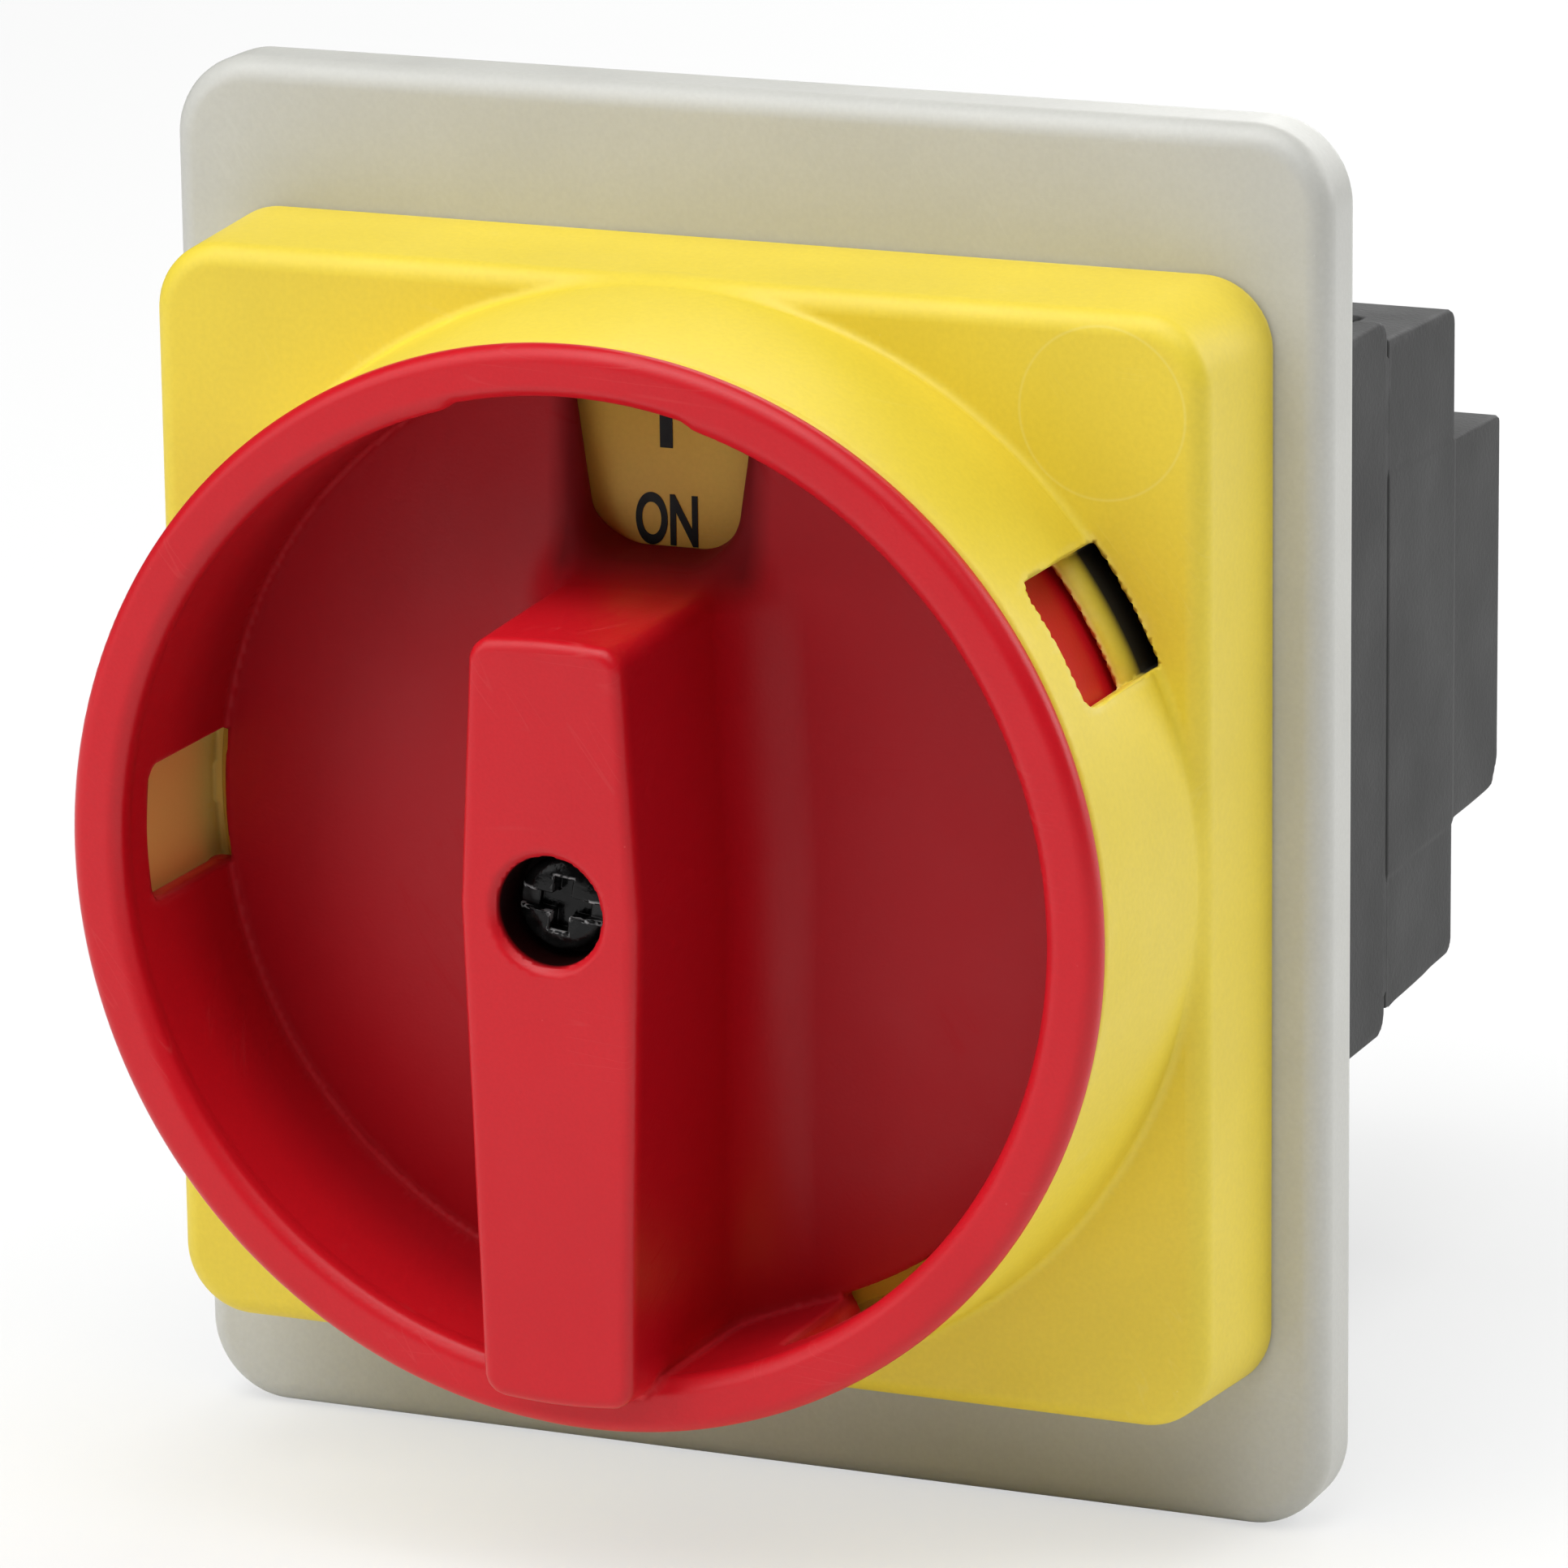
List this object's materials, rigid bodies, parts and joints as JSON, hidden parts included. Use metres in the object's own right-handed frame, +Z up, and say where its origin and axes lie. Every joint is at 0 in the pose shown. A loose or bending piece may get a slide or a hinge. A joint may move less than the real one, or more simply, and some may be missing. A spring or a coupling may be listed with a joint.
{
  "type": "rotary isolator switch",
  "caption": "Panel-mounted rotary isolator switch: red handle in a yellow padlock collar, grey cover plate and stepped contact housing; a quarter turn drives the contacts.",
  "frame": {"origin": "on the handle's axis, in the plane where the cover plate's back meets the panel", "axes": "+X to the right and +Z up for someone facing the handle, +Y along the shaft into the cabinet"},
  "size_m": [0.0732, 0.0883, 0.0842],
  "materials": {
    "cover_grey": "semi-matt moulded plastic",
    "escutcheon_yellow": "semi-matt moulded plastic",
    "dial_yellow": "matt plastic with a printed legend",
    "handle_red": "fine-grained semi-matt moulded plastic",
    "housing_black": "matt moulded thermoset",
    "inner_white": "natural nylon",
    "carriage_black": "matt moulded plastic",
    "seal_rubber": "soft matt rubber",
    "plated_steel": "zinc-plated steel",
    "screw_black": "glossy black coating",
    "copper": "bare copper",
    "brass": "bare brass"
  },
  "bodies": {
    "base": {"cover_plate": "cover_grey", "panel_gasket": "seal_rubber", "escutcheon": "escutcheon_yellow", "dial_disc": "dial_yellow", "latch_housing": "housing_black", "shaft_seal": "seal_rubber", "detent_spring_upper": "plated_steel", "detent_spring_lower": "plated_steel", "cam_housing": "housing_black", "contact_housing": "housing_black", "plate_screw_1": "plated_steel", "tie_screw_1": "plated_steel", "line_contact_1": "copper", "line_clamp_1": "plated_steel", "line_screw_1": "plated_steel", "load_contact_1": "copper", "load_clamp_1": "plated_steel", "load_screw_1": "plated_steel", "contact_spring_1": "plated_steel", "plate_screw_2": "plated_steel", "tie_screw_2": "plated_steel", "line_contact_2": "copper", "line_clamp_2": "plated_steel", "line_screw_2": "plated_steel", "load_contact_2": "copper", "load_clamp_2": "plated_steel", "load_screw_2": "plated_steel", "contact_spring_2": "plated_steel", "plate_screw_3": "plated_steel", "tie_screw_3": "plated_steel", "line_contact_3": "copper", "line_clamp_3": "plated_steel", "line_screw_3": "plated_steel", "load_contact_3": "copper", "load_clamp_3": "plated_steel", "load_screw_3": "plated_steel", "contact_spring_3": "plated_steel", "plate_screw_4": "plated_steel", "tie_screw_4": "plated_steel", "line_contact_4": "copper", "line_clamp_4": "plated_steel", "line_screw_4": "plated_steel", "load_contact_4": "copper", "load_clamp_4": "plated_steel", "load_screw_4": "plated_steel", "contact_spring_4": "plated_steel"},
    "rotor": {"handle_knob": "handle_red", "handle_screw": "screw_black", "drive_shaft": "plated_steel", "detent_star": "inner_white", "rotor_cam": "inner_white"},
    "carriage": {"contact_carriage": "carriage_black"},
    "bridge_1": {"contact_bridge_1": "brass"},
    "bridge_2": {"contact_bridge_2": "brass"},
    "bridge_3": {"contact_bridge_3": "brass"},
    "bridge_4": {"contact_bridge_4": "brass"}
  },
  "joints": [
    {"name": "handle_turn", "type": "hinge", "parent": "base", "child": "rotor", "pos_m": [0, 0, 0], "axis": [0, -1, 0], "range_deg": [0, 90], "deforming": ["detent_spring_upper", "detent_spring_lower"]},
    {"name": "carriage_slide", "type": "slide", "parent": "base", "child": "carriage", "axis": [0, 1, 0], "range_m": [0, 0.003]},
    {"name": "bridge_1_slide", "type": "slide", "parent": "base", "child": "bridge_1", "axis": [0, 1, 0], "range_m": [0, 0.003], "deforming": ["contact_spring_1"]},
    {"name": "bridge_2_slide", "type": "slide", "parent": "base", "child": "bridge_2", "axis": [0, 1, 0], "range_m": [0, 0.003], "deforming": ["contact_spring_2"]},
    {"name": "bridge_3_slide", "type": "slide", "parent": "base", "child": "bridge_3", "axis": [0, 1, 0], "range_m": [0, 0.003], "deforming": ["contact_spring_3"]},
    {"name": "bridge_4_slide", "type": "slide", "parent": "base", "child": "bridge_4", "axis": [0, 1, 0], "range_m": [0, 0.003], "deforming": ["contact_spring_4"]}
  ],
  "couplings": [
    {"joint": "carriage_slide", "follows": "handle_turn", "m_per_rad": 0.0019098},
    {"joint": "bridge_1_slide", "follows": "handle_turn", "m_per_rad": 0.0019098},
    {"joint": "bridge_2_slide", "follows": "handle_turn", "m_per_rad": 0.0019098},
    {"joint": "bridge_3_slide", "follows": "handle_turn", "m_per_rad": 0.0019098},
    {"joint": "bridge_4_slide", "follows": "handle_turn", "m_per_rad": 0.0019098}
  ]
}
